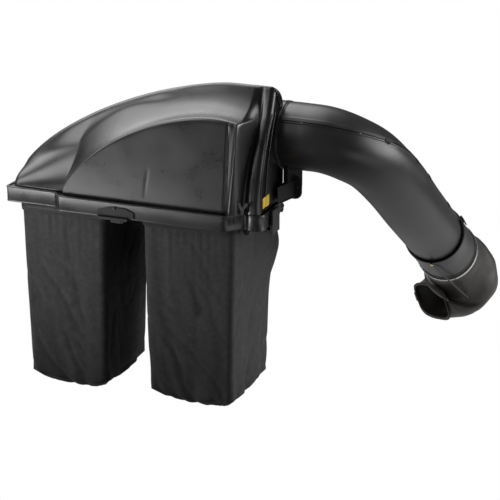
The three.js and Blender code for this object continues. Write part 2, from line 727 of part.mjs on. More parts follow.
// A channel round the upright with a hole for its pin, fixed to the back of the hitch plate.
const PIN = { radius: 5, y: TUBE.y + 31, high: 62 };
function makeHitchBracket(x) {
  const low = HITCH.z - PIN.high;
  const high = HITCH.z + PIN.high;
  const web = box(x - 21, x + 21, PIN.y + TUBE.upright + GAP, HITCH.y - HITCH.thick - GAP, low, high);
  const cheeks = [-1, 1].map((side) => {
    const [from, to] = [x + side * (TUBE.upright + GAP), x + side * 21].sort((a, b) => a - b);
    return box(from, to, PIN.y - 15, PIN.y + TUBE.upright + 2, low, high);
  });
  return cut(join(web, ...cheeks), pinHole(x));
}
const pinHole = (x) => rod(V(x - 30, PIN.y, HITCH.z), V(x + 30, PIN.y, HITCH.z), PIN.radius + GAP, 16);

function makeUpright(x) {
  const { cross, upright, y, z } = TUBE;
  const post = rod(V(x, PIN.y, z + 16), V(x, PIN.y, -520), upright, 12);
  const saddle = box(x - 17, x + 17, y + cross + GAP, PIN.y, z - 14, z + 12);
  return cut(join(post, saddle), pinHole(x));
}

// The pin's head stands out on the side away from the middle.
function makeHitchPin(x) {
  const out = Math.sign(x);
  const at = (dx) => V(x + out * dx, PIN.y, HITCH.z);
  const grip = new THREE.TorusGeometry(12, 2, 8, 20).translate(x + out * 36, PIN.y - 12, HITCH.z);
  return join(rod(at(-27), at(34), PIN.radius, 16), rod(at(22), at(27), 9, 16), grip);
}

// Strike that ties the inner rails together and carries the nose the latch catches on.
function makeKeeper() {
  const tie = box(BAGS.left.x1 + 4 + GAP, BAGS.right.x0 - 4 - GAP, RAIL.near, RAIL.near + 12, -82, -69);
  const tongue = box(-75, -25, 3, RAIL.near + 6, -80, -75);
  const nose = box(-75, -25, 3, 8, -80, -68);
  return join(tie, tongue, nose);
}

// ---- rear latch handle ----
function makeHandle() {
  const outline = [
    [-76, -50],
    [74, -50],
    [74, -26],
    [36, -12],
    [-26, -12],
    [-76, -28],
  ];
  const face = plate(outline, 4);
  const lip = new THREE.BoxGeometry(126, 10, 13).translate(-12, -55, 7.5);
  const tongue = new THREE.BoxGeometry(36, 24, 3).translate(0, -61, 1.6);
  return join(face, lip, tongue).rotateX(Math.PI / 2).translate(-50, -1, -6);
}

// A rubber strap forked like a Y, on a stub that stands on the rim's ledge at the foot of the valley.
const STRAP = { x: 447, near: 31, thick: 5, stub: 62 };
function makeStrap() {
  const fork = plate([[-6, 2], [6, 2], [7, 20], [24, 44], [17, 51], [0, 31], [-11, 51], [-18, 45], [-6, 22]], STRAP.thick);
  const stub = rod(V(0, -2, 6), V(0, STRAP.stub - STRAP.near - STRAP.thick, 6), 4, 12);
  return join(fork.rotateX(Math.PI / 2), stub).translate(STRAP.x, STRAP.near + STRAP.thick, 0);
}

// ---- assembly ----
const collector = new THREE.Group();

function add(name, geometry, material, parent = collector) {
  const mesh = new THREE.Mesh(geometry, material);
  mesh.name = name;
  parent.add(mesh);
  return mesh;
}

function addHood() {
  add("hood_dome", makeDome(), MAT.hood);
  add("hood_rim", makeRim(), MAT.hood);
  add("inlet_seal", ringX(INLET.hoodFace + GAP, INLET.chuteFace - 2.5, 116, 128, INLET.y, INLET.z, 32), MAT.rubber);
  add("latch_handle", makeHandle(), MAT.trim);
  add("latch_pivot_screw", rod(V(-55, -11.2, -22), V(-55, -5.5, -22), 5, 10), MAT.frame);
  add("end_label", box(DOME.right + GAP, DOME.right + 1.5, 84, 148, 16, 57), MAT.label);
  for (const [i, x] of HINGE.at.entries()) {
    add(`hood_hinge_leaf_${i + 1}`, hingeLeaf(x), MAT.frame);
  }
  add("dome_strap", makeStrap(), MAT.rubber);
}

function addFrame() {
  const { cross, y, z } = TUBE;
  const sideTube = rod(V(SIDE_X, 96, TUBE.sideZ), V(SIDE_X, y - cross - GAP, TUBE.sideZ), SIDE_RADIUS, 12);
  add("frame_cross_tube", rod(V(TUBE.left, y, z), V(TUBE.right, y, z), cross, 14), MAT.frame);
  add("frame_side_tube", sideTube, MAT.frame);
  for (const [name, x] of [["left", -84], ["right", 84]]) {
    add(`frame_upright_${name}`, makeUpright(x), MAT.frame);
    add(`hitch_bracket_${name}`, makeHitchBracket(x), MAT.frame);
    add(`hitch_pin_${name}`, makeHitchPin(x), MAT.zinc);
  }
  add("frame_lower_tube", rod(V(-66, PIN.y, -500), V(66, PIN.y, -500), 13, 12), MAT.frame);
  add("hitch_plate", makeHitchPlate(), MAT.frame);
  for (const [i, x] of HINGE.at.entries()) {
    add(`hinge_bracket_${i + 1}`, hingeBracket(x), MAT.frame);
    add(`hinge_pin_${i + 1}`, rod(V(x - 26, HINGE.y, HINGE.z), V(x + 26, HINGE.y, HINGE.z), HINGE.pin, 16), MAT.zinc);
  }
  const rails = [
    ["left_outer", BAGS.left.x0, -1],
    ["left_inner", BAGS.left.x1, 1],
    ["right_inner", BAGS.right.x0, -1],
    ["right_outer", BAGS.right.x1, 1],
  ];
  for (const [name, x, side] of rails) add(`bag_rail_${name}`, makeRail(x, side), MAT.frame);
  add("latch_keeper", makeKeeper(), MAT.frame);
  add("chute_support_box", makeSupportBox(), MAT.trim);
  add("chute_support_flange", makeSupportFlange(), MAT.frame);
  add("chute_saddle", makeSaddle(), MAT.trim);
  add("chute_support_arm", makeSupportArm(), MAT.frame);
}

function addBags() {
  for (const side of ["left", "right"]) {
    add(`bag_${side}`, makeBag(BAGS[side]), MAT.fabric);
    add(`bag_frame_${side}`, makeLoop(BAGS[side]), MAT.frame);
  }
}

function addChute() {
  const { cover, body } = makeChuteHalves();
  add("chute_cover", cover, MAT.chute);
  add("chute_body", body, MAT.chute);
  for (const [i, step] of [6, 10, 13, 19].entries()) {
    add(`seam_clip_outer_${i + 1}`, seamClip(step, 1), MAT.trim);
    add(`seam_clip_inner_${i + 1}`, seamClip(step, -1), MAT.trim);
  }
  add("chute_collar", endTube(COLLAR.from, COLLAR.to, COLLAR.inner, COLLAR.outer), MAT.chute);
  add("boot", makeBoot(), MAT.rubber);
  add("boot_tab", makeBootTab(), MAT.rubber);
  add("clamp_band", makeClampBand(), MAT.zinc);
  add("clamp_screw", makeClampScrew(), MAT.zinc);
  add("collar_latch", makeCollarLatch(), MAT.trim);
  add("stay_rod", makeStayRod(), MAT.frame);
  add("stay_screw", makeStayScrew(), MAT.brass);
}

addHood();
addFrame();
addBags();
addChute();

const part = new THREE.Group();
collector.position.set(0, -HITCH.y, -HITCH.z);
part.add(collector);

export default part;
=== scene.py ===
"""Looks of a twin-bag grass collector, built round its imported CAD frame.

Shapes are worked out in the collector's own layout in millimetres: X runs along the hood towards the chute,
Y = 0 is the rim's rear face with +Y towards the mower, and Z = 0 is the rim's top. place() turns that into
metres.
"""

import json
import math

import bmesh
import bpy
import numpy as np
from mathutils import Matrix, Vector, noise


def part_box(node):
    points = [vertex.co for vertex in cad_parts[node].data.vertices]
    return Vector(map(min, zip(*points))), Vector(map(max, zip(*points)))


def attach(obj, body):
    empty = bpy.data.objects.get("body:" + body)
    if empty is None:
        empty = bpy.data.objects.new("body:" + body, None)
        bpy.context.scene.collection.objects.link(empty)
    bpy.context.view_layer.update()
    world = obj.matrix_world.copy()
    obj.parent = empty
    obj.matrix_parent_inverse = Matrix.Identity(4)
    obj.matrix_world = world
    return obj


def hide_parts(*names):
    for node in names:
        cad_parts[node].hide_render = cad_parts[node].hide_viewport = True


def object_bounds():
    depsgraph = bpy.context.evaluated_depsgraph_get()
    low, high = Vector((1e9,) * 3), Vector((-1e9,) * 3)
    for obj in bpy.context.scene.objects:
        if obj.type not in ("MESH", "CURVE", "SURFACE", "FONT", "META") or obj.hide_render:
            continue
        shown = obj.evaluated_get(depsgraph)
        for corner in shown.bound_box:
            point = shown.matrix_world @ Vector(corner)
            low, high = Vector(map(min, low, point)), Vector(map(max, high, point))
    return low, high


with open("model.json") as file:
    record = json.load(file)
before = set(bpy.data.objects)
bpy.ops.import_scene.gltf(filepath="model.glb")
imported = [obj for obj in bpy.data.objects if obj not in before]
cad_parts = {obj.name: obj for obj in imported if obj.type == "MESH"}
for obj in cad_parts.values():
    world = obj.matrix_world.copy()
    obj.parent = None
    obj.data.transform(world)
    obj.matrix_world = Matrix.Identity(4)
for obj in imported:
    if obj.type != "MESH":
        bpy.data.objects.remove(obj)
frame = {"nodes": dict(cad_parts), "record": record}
CAD_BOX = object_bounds()
NODES = frame["nodes"]

# ---- layout ----
rim_low, rim_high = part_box("hood_rim")
RIM_LEFT, RIM_RIGHT, RIM_FAR = -541.0, 520.0, 475.0
ORIGIN = np.array([rim_low.x - RIM_LEFT / 1000, rim_low.y, rim_high.z])
TAU = math.tau


def place(points):
    """Layout millimetres to metres in the frame."""
    return np.asarray(points, float) / 1000 + ORIGIN


def smooth(low, high, v):
    t = np.clip((np.asarray(v, float) - low) / (high - low), 0, 1)
    return t * t * (3 - 2 * t)


def mix(a, b, t):
    return a + (b - a) * t


def smooth_max(a, b, k):
    """The larger of two heights, rounded over a width of k where they cross."""
    h = np.clip(0.5 + 0.5 * (a - b) / k, 0, 1)
    return b * (1 - h) + a * h + k * h * (1 - h)


# ---- materials ----
def new_material(name):
    m = bpy.data.materials.new(name)
    m.use_nodes = True
    tree = m.node_tree
    tree.nodes.clear()
    out = tree.nodes.new("ShaderNodeOutputMaterial")
    shader = tree.nodes.new("ShaderNodeBsdfPrincipled")
    tree.links.new(shader.outputs["BSDF"], out.inputs["Surface"])
    return m, tree, shader


def noise_node(tree, scale, detail=4.0, stretch=(1, 1, 1)):
    """A noise texture over the piece's own coordinates, stretched along an axis for grain or brushing."""
    coord = tree.nodes.new("ShaderNodeTexCoord")
    mapping = tree.nodes.new("ShaderNodeMapping")
    mapping.inputs["Scale"].default_value = stretch
    tex = tree.nodes.new("ShaderNodeTexNoise")
    tex.inputs["Scale"].default_value = scale
    tex.inputs["Detail"].default_value = detail
    tree.links.new(coord.outputs["Object"], mapping.inputs["Vector"])
    tree.links.new(mapping.outputs["Vector"], tex.inputs["Vector"])
    return tex.outputs["Fac"]


def spread(tree, value, low, high, start=0.3, end=0.7):
    """Maps a texture's middle range onto low to high."""
    node = tree.nodes.new("ShaderNodeMapRange")
    node.inputs["From Min"].default_value = start
    node.inputs["From Max"].default_value = end
    node.inputs["To Min"].default_value = low
    node.inputs["To Max"].default_value = high
    tree.links.new(value, node.inputs["Value"])
    return node.outputs["Result"]


def colour_between(tree, value, dark, light):
    node = tree.nodes.new("ShaderNodeMix")
    node.data_type = "RGBA"
    node.inputs["A"].default_value = (*dark, 1)
    node.inputs["B"].default_value = (*light, 1)
    tree.links.new(value, node.inputs["Factor"])
    return node.outputs["Result"]


def bump(tree, shader, height, strength, distance, before=None):
    node = tree.nodes.new("ShaderNodeBump")
    node.inputs["Strength"].default_value = strength
    node.inputs["Distance"].default_value = distance
    tree.links.new(height, node.inputs["Height"])
    if before is not None:
        tree.links.new(before, node.inputs["Normal"])
    tree.links.new(node.outputs["Normal"], shader.inputs["Normal"])
    return node.outputs["Normal"]


def moulded(name, dark, light, rough, grain, depth, shine=0.8):
    """Moulded plastic: fine grain, a slow unevenness and patches of slightly different gloss."""
    m, tree, shader = new_material(name)
    patches = noise_node(tree, 9, 3)
    colour = colour_between(tree, spread(tree, patches, 0, 1), dark, light)
    tree.links.new(colour, shader.inputs["Base Color"])
    tree.links.new(spread(tree, patches, rough - 0.04, rough + 0.05), shader.inputs["Roughness"])
    slow = bump(tree, shader, noise_node(tree, 14, 2), 0.05, 0.002)
    bump(tree, shader, noise_node(tree, grain, 3), depth, 0.0004, slow)
    shader.inputs["Specular IOR Level"].default_value = shine
    return m


def woven(name, dark, light):
    """Coated woven cloth: crossed threads, a slow mottle and a faint sheen."""
    m, tree, shader = new_material(name)
    coord = tree.nodes.new("ShaderNodeTexCoord")
    threads = []
    for direction in ("X", "Z"):
        wave = tree.nodes.new("ShaderNodeTexWave")
        wave.bands_direction = direction
        wave.inputs["Scale"].default_value = 260
        wave.inputs["Distortion"].default_value = 0.6
        tree.links.new(coord.outputs["Object"], wave.inputs["Vector"])
        threads.append(wave.outputs["Fac"])
    crossed = tree.nodes.new("ShaderNodeMath")
    crossed.operation = "MULTIPLY"
    tree.links.new(threads[0], crossed.inputs[0])
    tree.links.new(threads[1], crossed.inputs[1])
    mottle = spread(tree, noise_node(tree, 22, 5), 0, 1)
    tree.links.new(colour_between(tree, mottle, dark, light), shader.inputs["Base Color"])
    tree.links.new(spread(tree, noise_node(tree, 60, 3), 0.62, 0.8), shader.inputs["Roughness"])
    shader.inputs["Sheen Weight"].default_value = 0.08
    shader.inputs["Sheen Roughness"].default_value = 0.5
    creases = bump(tree, shader, noise_node(tree, 26, 6, (1, 1, 0.35)), 0.35, 0.004)
    bump(tree, shader, crossed.outputs["Value"], 0.25, 0.0005, creases)
    return m


def metal(name, colour, rough, brushing, metallic=1.0):
    m, tree, shader = new_material(name)
    streaks = noise_node(tree, brushing, 4, (1, 1, 0.2))
    darker = tuple(c * 0.82 for c in colour)
    streaked = colour_between(tree, spread(tree, streaks, 0, 1), darker, colour)
    tree.links.new(streaked, shader.inputs["Base Color"])
    tree.links.new(spread(tree, streaks, rough - 0.06, rough + 0.08), shader.inputs["Roughness"])
    shader.inputs["Metallic"].default_value = metallic
    bump(tree, shader, streaks, 0.15, 0.0003)
    return m


def grey(value, blue=0.0):
    return (value, value, value + blue)


MAT = {
    "hood_plastic": moulded("hood_plastic", grey(0.007, 0.0002), grey(0.011), 0.29, 700, 0.2),
    "chute_plastic": moulded(
        "chute_plastic", grey(0.014, 0.0005), grey(0.021, 0.0005), 0.36, 900, 0.12, 0.55
    ),
    "trim_plastic": moulded("trim_plastic", grey(0.007), grey(0.011), 0.5, 800, 0.2, 0.25),
    "boot_rubber": moulded(
        "boot_rubber", (0.017, 0.0135, 0.012), (0.026, 0.021, 0.019), 0.45, 260, 0.35, 0.5
    ),
    "bag_fabric": woven("bag_fabric", grey(0.0072, 0.0003), grey(0.0135, 0.0003)),
    "bag_hem": woven("bag_hem", grey(0.008), grey(0.013)),
    "frame_paint": metal("frame_paint", grey(0.018), 0.42, 240, 0.0),
    "zinc": metal("zinc", (0.72, 0.72, 0.7), 0.24, 300),
    "brass_plate": metal("brass_plate", (0.72, 0.5, 0.27), 0.28, 300),
    "label": moulded("label", (0.72, 0.46, 0.03), (0.82, 0.55, 0.05), 0.4, 500, 0.1),
}


# ---- mesh helpers ----
def piece(name, points, faces, slot, body, stands_for=(), material=None, angle=None):
    """A named mesh piece from layout points, riding on a body."""
    mesh = bpy.data.meshes.new(name)
    mesh.from_pydata([tuple(p) for p in place(points)], [], [tuple(f) for f in faces])
    mesh.validate()
    b = bmesh.new()
    b.from_mesh(mesh)
    bmesh.ops.remove_doubles(b, verts=b.verts, dist=1e-6)
    bmesh.ops.recalc_face_normals(b, faces=b.faces)
    b.to_mesh(mesh)
    b.free()
    o = bpy.data.objects.new(name, mesh)
    bpy.context.scene.collection.objects.link(o)
    mesh.materials.append(material or MAT[slot])
    finish_piece(o, body, stands_for, angle)
    return o


def finish_piece(o, body, stands_for=(), angle=None):
    o.data.shade_smooth()
    if angle is not None:
        sharpen(o.data, angle)
    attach(o, body)
    if stands_for:
        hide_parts(*stands_for)


def sharpen(mesh, degrees):
    """Marks the edges that turn by more than an angle as sharp."""
    b = bmesh.new()
    b.from_mesh(mesh)
    for e in b.edges:
        e.smooth = len(e.link_faces) == 2 and e.calc_face_angle(0) < math.radians(degrees)
    b.to_mesh(mesh)
    b.free()


def thicken(o, mm, even=True):
    m = o.modifiers.new("wall", "SOLIDIFY")
    m.thickness = mm / 1000
    m.offset = -1
    m.use_even_offset = even
    return m


def grid_faces(rows, cols, wrap_rows=False, wrap_cols=False):
    out = []
    for j in range(rows if wrap_rows else rows - 1):
        for i in range(cols if wrap_cols else cols - 1):
            a, b = j * cols + i, j * cols + (i + 1) % cols
            c, d = ((j + 1) % rows) * cols + (i + 1) % cols, ((j + 1) % rows) * cols + i
            out.append((a, b, c, d))
    return out


def capped(rings):
    """Points and faces of a solid skinned over closed rings, with a fan over each end."""
    rings = [np.asarray(r, float) for r in rings]
    cols = len(rings[0])
    points = np.vstack(rings + [rings[0].mean(0), rings[-1].mean(0)])
    faces = grid_faces(len(rings), cols, False, True)
    first, last = len(rings) * cols, len(rings) * cols + 1
    base = (len(rings) - 1) * cols
    faces += [(first, (i + 1) % cols, i) for i in range(cols)]
    faces += [(last, base + i, base + (i + 1) % cols) for i in range(cols)]
    return points, faces


def hoop(rings):
    rings = np.asarray(rings, float)
    return rings.reshape(-1, 3), grid_faces(len(rings), len(rings[0]), True, True)


def between(a, b, c, d, t):
    """A smooth curve from b to c whose ends point along a to c and b to d."""
    return (
        (2 * t**3 - 3 * t**2 + 1) * b
        + (t**3 - 2 * t**2 + t) * (c - a) / 2
        + (3 * t**2 - 2 * t**3) * c
        + (t**3 - t**2) * (d - b) / 2
    )


def even_curve(curve, count):
    """count points spread evenly along a dense curve."""
    curve = np.asarray(curve, float)
    d = np.concatenate([[0], np.cumsum(np.linalg.norm(np.diff(curve, axis=0), axis=1))])
    at = np.linspace(0, d[-1], count)
    return np.column_stack([np.interp(at, d, curve[:, k]) for k in range(curve.shape[1])])


def sweep_rings(path, radius, sides, start=(0, 0, 1)):
    """Rings round a path of points, with a frame that doesn't twist."""
    path = np.asarray(path, float)
    tangents = np.gradient(path, axis=0)
    tangents /= np.linalg.norm(tangents, axis=1)[:, None]
    normal = np.array(start, float)
    if abs(normal @ tangents[0]) > 0.9:
        normal = np.array([1.0, 0, 0])
    rings = []
    for p, t in zip(path, tangents):
        normal = normal - t * (normal @ t)
        normal /= np.linalg.norm(normal)
        side = np.cross(t, normal)
        a = np.arange(sides) / sides * TAU
        rings.append(p + radius * (np.cos(a)[:, None] * normal + np.sin(a)[:, None] * side))
    return rings


# ---- hood ----
RIDGE_TOP, SPINE_Y = 450.0, 210.0
RIDGE_FLAT, RIDGE_REACH = 330, 890  # the ridge falls to the left of the first, over the second
PANEL_TOP, PANEL_PEAK, PANEL_REACH = 354.0, 326, 616
PANEL_FOOT, PANEL_LEAN = 22, 12
PANEL_BEGINS = (-295, -285)
END_BLOCK = (424, 464)
END_FOOT, END_RISE, END_TOP, END_CURVE = 50, 133, 359, 2.2  # the right end leans away as it rises
DOME_LEFT, DOME_RIGHT, DOME_FAR = -520.0, 507.0, 462.0
END_RADIUS = 20.0
LEFT_CORNER = 30
DOME_WALL = 4
LEFT_RECESS, END_RECESS, VALLEY_X = 40.0, 45.0, 446.0
PLAIN_FOOT = 50.0  # where the dome's foot stands at the left of the panel
ROUND_X, ROUND_Y = 330.0, 120.0  # centre of the rounded far right corner


def ridge_height(x):
    """Height of the dome's spine at x."""
    t = np.clip((RIDGE_FLAT - x) / RIDGE_REACH, 0, 1)
    return RIDGE_TOP * (1 - t**1.5) ** 0.66


def panel_height(x):
    """Height of the rear panel's arched top edge at x."""
    t = np.clip((PANEL_PEAK - x) / PANEL_REACH, 0, 1)
    left = PANEL_TOP * (1 - t**1.8) ** 0.7
    return np.where(x > PANEL_PEAK, PANEL_TOP - 0.0012 * (x - PANEL_PEAK) ** 2, left)


def rim_near(x):
    """How far back the rim's rear face stands at x."""
    left = LEFT_RECESS * (1 - smooth(-332, -288, x))
    right = END_RECESS * smooth(381, 437, x)
    valley = 14 * np.exp(-(((x - VALLEY_X) / 16) ** 2))
    return left + right + valley


def near_wall(x, z):
    """Where the rear wall stands at x and height z: flat panel, groove, pillar, valley and end block."""
    panel = PANEL_FOOT + PANEL_LEAN * z / PANEL_TOP
    end = END_FOOT + END_RISE * np.clip(z / END_TOP, 0, 1.2) ** END_CURVE
    base = mix(panel, end, smooth(*END_BLOCK, x))
    fade = 1 - smooth(290, 352, z)
    groove = 6 * fade * np.exp(-(((x - 381 - 0.035 * z) / 5) ** 2))
    pillar = -9 * fade * np.exp(-(((x - 402 - 0.09 * z) / 12) ** 2))
    valley = 24 * (1 - smooth(260, 400, z)) * np.exp(-(((x - 442 - 0.03 * z) / 13) ** 2))
    low_half = smooth(20, 60, z) * (1 - smooth(110, 150, z))
    crease = 1.6 * low_half * np.exp(-(((x - 50 - 0.16 * z) / 4) ** 2))
    return base + groove + pillar + valley + crease


def corner_inset(x):
    """How far the dome's foot is drawn in by the round of its left corners."""
    beyond = max(0.0, LEFT_CORNER**2 - max(0.0, DOME_LEFT + LEFT_CORNER - x) ** 2)
    return LEFT_CORNER - math.sqrt(beyond)


def dome_wall(x, plain, share, high):
    """The near wall of the section at x, from the rim up to the panel's top edge."""
    z = np.linspace(0, 1, 30) ** 0.9 * high
    wall_y = mix(np.full_like(z, plain), near_wall(x, z), share)
    return np.column_stack([wall_y, z])


def dome_near(x, plain, share, high, start, ridge):
    """The near half of the top: the rounded lobe at the left, and the shelf that rises behind the panel."""
    y = start + (SPINE_Y - start) * np.linspace(0, 1, 500) ** 1.6
    t = np.clip((y - plain - 1) / (SPINE_Y - 24 - plain), 0, 1)
    lobe = 0.8 * ridge * t**0.45 + 0.2 * ridge * smooth(0.5, 1.0, (y - plain) / (SPINE_Y - plain))
    s = (y - start) / (SPINE_Y - start)
    power = mix(1.15, 3.0, float(smooth(-100, 260, x)))
    power = mix(power, 1.25, float(smooth(430, 470, x)))
    shelf = high + (ridge - high) * s**power
    lobe_share = 1 - float(smooth(40, 300, x))
    top = lobe
    if share > 0:
        merge = max(22 * float(smooth(PANEL_BEGINS[0], -190, x)), 0.5)
        top = smooth_max(mix(shelf - 60, lobe, lobe_share), mix(lobe, shelf, share), merge)
    top = np.minimum(top, ridge)
    top[0] = high
    return np.column_stack([y, top])


def dome_far(x, corner, ridge):
    """The far half of the top: it falls away from the ridge and turns down to the rim."""
    u = np.sin(np.linspace(0, math.pi / 2, 300))
    square = float(smooth(0, 350, x))
    round_share = math.sqrt(1 - float(np.clip((x - ROUND_X) / (DOME_RIGHT + 3 - ROUND_X), 0, 1)) ** 2)
    reach = mix(250.0, DOME_FAR, round_share) - corner - SPINE_Y
    fall = min(0.34, 0.5 * ridge / reach)
    p = mix(2.2, 5.0, square)
    far_z = (ridge - fall * reach * u) * np.clip(1 - u**p, 0, None) ** (1 / p)
    limit = mix(160 + 32 * (far_z / 388) ** 1.5, DOME_FAR, round_share) - corner
    return np.column_stack([SPINE_Y + (limit - SPINE_Y) * u, far_z])


def dome_section(x):
    """The section at station x as two curves, wall and top, that meet at the rear panel's top edge."""
    share = float(smooth(*PANEL_BEGINS, x))
    corner = corner_inset(x)
    plain = PLAIN_FOOT + corner
    ridge = float(ridge_height(x))
    high = max(float(panel_height(x)) * share, 6.0)
    wall = dome_wall(x, plain, share, high)
    near = dome_near(x, plain, share, high, wall[-1][0], ridge)
    return wall, np.vstack([near, dome_far(x, corner, ridge)[1:]])


def rounded_curve(curve, count, reach):
    """An even curve whose corners are rounded by a moving average, its ends kept."""
    out = even_curve(curve, count)
    for _ in range(reach):
        out[1:-1] = (out[:-2] + 2 * out[1:-1] + out[2:]) / 4
    return out


WALL_STEPS, TOP_STEPS = 40, 150


def dome_ring(x):
    """The dome's section at x as evenly spaced points."""
    wall, rest = dome_section(x)
    wall = even_curve(wall, WALL_STEPS)
    top = rounded_curve(rest, TOP_STEPS, 6)
    section = np.vstack([wall[:-1], top])
    k = WALL_STEPS
    for _ in range(3):  # the panel's top edge is a tight round
        before, at, after = section[k - 5 : k + 1], section[k - 4 : k + 2], section[k - 3 : k + 3]
        section[k - 4 : k + 2] = (before + 2 * at + after) / 4
    return np.column_stack([np.full(len(section), x), section])


def dome_ring_at(x, like, inset):
    """A ring at x that copies the section at another station, drawn in by an inset."""
    flat = dome_ring(like)[:, 1:]
    tangent = np.gradient(flat, axis=0)
    tangent /= np.linalg.norm(tangent, axis=1)[:, None]
    inward = np.column_stack([tangent[:, 1], -tangent[:, 0]])
    moved = flat + inward * inset
    moved[:, 1] = np.maximum(moved[:, 1], 0)
    moved[0, 1] = moved[-1, 1] = 0
    return np.column_stack([np.full(len(moved), x), moved])


def build_dome():
    """The hood's shell, skinned over sections that lie closer together where the shape turns."""
    stations = [DOME_LEFT + LEFT_CORNER * (1 - math.cos(a)) for a in np.linspace(0.05, math.pi / 2, 9)]
    stations += list(np.arange(stations[-1] + 6, -312, 6))
    stations += list(np.arange(-310, -270, 1.5))
    stations += list(np.arange(-268, 372, 6))
    stations += list(np.arange(372, DOME_RIGHT - END_RADIUS, 2.5))
    rings = [dome_ring(x) for x in stations]
    lip = DOME_RIGHT - END_RADIUS
    for a in np.linspace(0, math.pi / 2, 9):
        rings.append(dome_ring_at(lip + END_RADIUS * math.sin(a), lip, END_RADIUS * (1 - math.cos(a))))
    rings.append(dome_ring_at(DOME_RIGHT - 3, lip, END_RADIUS + 3))
    points = np.vstack(rings)
    cols = len(rings[0])
    faces = grid_faces(len(rings), cols)
    for row, turned in ((0, True), (len(rings) - 1, False)):
        base = row * cols
        for k in range(cols // 2):
            a, b, c, d = base + k, base + k + 1, base + cols - 2 - k, base + cols - 1 - k
            if b < c:
                faces.append((a, b, c, d) if turned else (d, c, b, a))
    o = piece("hood_shell", points, faces, "hood_plastic", "hood", ("hood_dome",), angle=50)
    thicken(o, DOME_WALL, False)


def ring_round(axis_from, axis_to, profile, sides=96):
    """Rings round a straight axis; profile is a list of (distance along, radius)."""
    p, q = np.array(axis_from, float), np.array(axis_to, float)
    t = (q - p) / np.linalg.norm(q - p)
    up = np.array([0, 0, 1.0]) if abs(t[2]) < 0.9 else np.array([1.0, 0, 0])
    up = up - t * (up @ t)
    up /= np.linalg.norm(up)
    side = np.cross(t, up)
    a = np.arange(sides) / sides * TAU
    circle = np.cos(a)[:, None] * up + np.sin(a)[:, None] * side
    return [p + t * along + r * circle for along, r in profile]


INLET_Y, INLET_Z, HOOD_FACE = 325.0, 238.0, 516.0
NECK_LONG = 152


def build_neck():
    """The round spigot the hood meets the chute with."""
    profile = [(0, 122), (0, 128), (130, 128), (136, 129.5), (150, 129.5)]
    profile += [(NECK_LONG, 128), (NECK_LONG, 123), (148, 122)]
    start = (HOOD_FACE - NECK_LONG, INLET_Y, INLET_Z)
    points, faces = hoop(ring_round(start, (HOOD_FACE, INLET_Y, INLET_Z), profile))
    piece("hood_neck", points, faces, "hood_plastic", "hood", ("hood_dome",), angle=40)


def arc_points(cx, cy, r, start, end, count):
    a = np.radians(np.linspace(start, end, count))
    return np.column_stack([cx + r * np.cos(a), cy + r * np.sin(a)])


def rim_outline(by):
    """The rim's outline in plan, drawn in by some distance, with the same count of points every time."""
    left, right, far = RIM_LEFT + by, RIM_RIGHT - by, RIM_FAR - by
    corner = max(1.0, 12 - by)
    turn = max(2.0, 28 - by)
    x = np.concatenate([np.linspace(-470, -336, 12), np.arange(-332, -287, 3), np.linspace(-280, 375, 40)])
    x = np.concatenate([x, np.arange(381, 489, 3.0)])
    beyond = np.clip(x - VALLEY_X, 0, None) * by / (RIM_RIGHT - VALLEY_X)
    rear = np.column_stack([x - beyond, rim_near(x) + by])
    a = np.linspace(0, math.pi / 2, 40)
    rounded_x = ROUND_X + (right - ROUND_X) * np.cos(a)
    rounded = np.column_stack([rounded_x, ROUND_Y + (far - ROUND_Y) * np.sin(a)])
    back = np.column_stack([np.linspace(300, -470, 30), np.full(30, far)])
    return np.vstack(
        [
            arc_points(left + corner, LEFT_RECESS + by + corner, corner, 180, 270, 8),
            rear,
            arc_points(right - turn, END_RECESS + by + turn, turn, -70, 0, 10),
            rounded,
            back,
            arc_points(left + corner, far - corner, corner, 90, 172, 8),
        ]
    )


def build_rim():
    """The skirt round the hood's foot: a bead at the bottom, a rolled top edge and a sunk ledge."""
    profile = [(4, -62), (1, -62), (-0.5, -60.5), (-1, -57), (0, -54), (0, -9), (-1.6, -7.5), (-2, -4)]
    profile += [(-1, -1), (1.5, 0), (6, 0), (8, -1), (8.5, -4.5), (52, -4.5), (52, -7.5), (6, -9.5)]
    profile += [(4, -13), (4, -60)]
    rings = [np.column_stack([rim_outline(by), np.full(len(rim_outline(by)), z)]) for by, z in profile]
    points, faces = hoop(rings)
    piece("hood_skirt", points, faces, "hood_plastic", "hood", ("hood_rim",), angle=38)


BOX_FACES = [(0, 2, 3, 1), (4, 5, 7, 6), (0, 1, 5, 4), (2, 6, 7, 3), (0, 4, 6, 2), (1, 3, 7, 5)]


def rounded_box(name, origin, axes, spans, radius, slot, body, stands_for=()):
    """A box with rounded edges, that spans two distances from its origin along each of three axes."""
    corners = []
    for k in range(8):
        corner = np.array(origin, float)
        for bit, (axis, span) in enumerate(zip(axes, spans)):
            corner = corner + axis * span[(k >> bit) & 1]
        corners.append(corner)
    o = piece(name, corners, BOX_FACES, slot, body, stands_for, angle=180)
    round_edges(o, radius)


def round_edges(o, mm, segments=3, limit=35):
    m = o.modifiers.new("edges", "BEVEL")
    m.width = mm / 1000
    m.segments = segments
    m.limit_method = "ANGLE"
    m.angle_limit = math.radians(limit)


def tube(name, path, radius, slot, body, sides=14, stands_for=()):
    points, faces = capped(sweep_rings(path, radius, sides))
    return piece(name, points, faces, slot, body, stands_for, angle=50)


def build_rim_marks():
    """Three short raised ribs under the strap."""
    for k in range(3):
        x = 396 + 9 * k
        y = float(rim_near(x)) - 1.2
        spans = ((0, 3.5), (0, 2.4), (-36, -16))
        rounded_box(f"rim_rib_{k + 1}", (x, y, 0), np.eye(3), spans, 0.8, "hood_plastic", "hood")


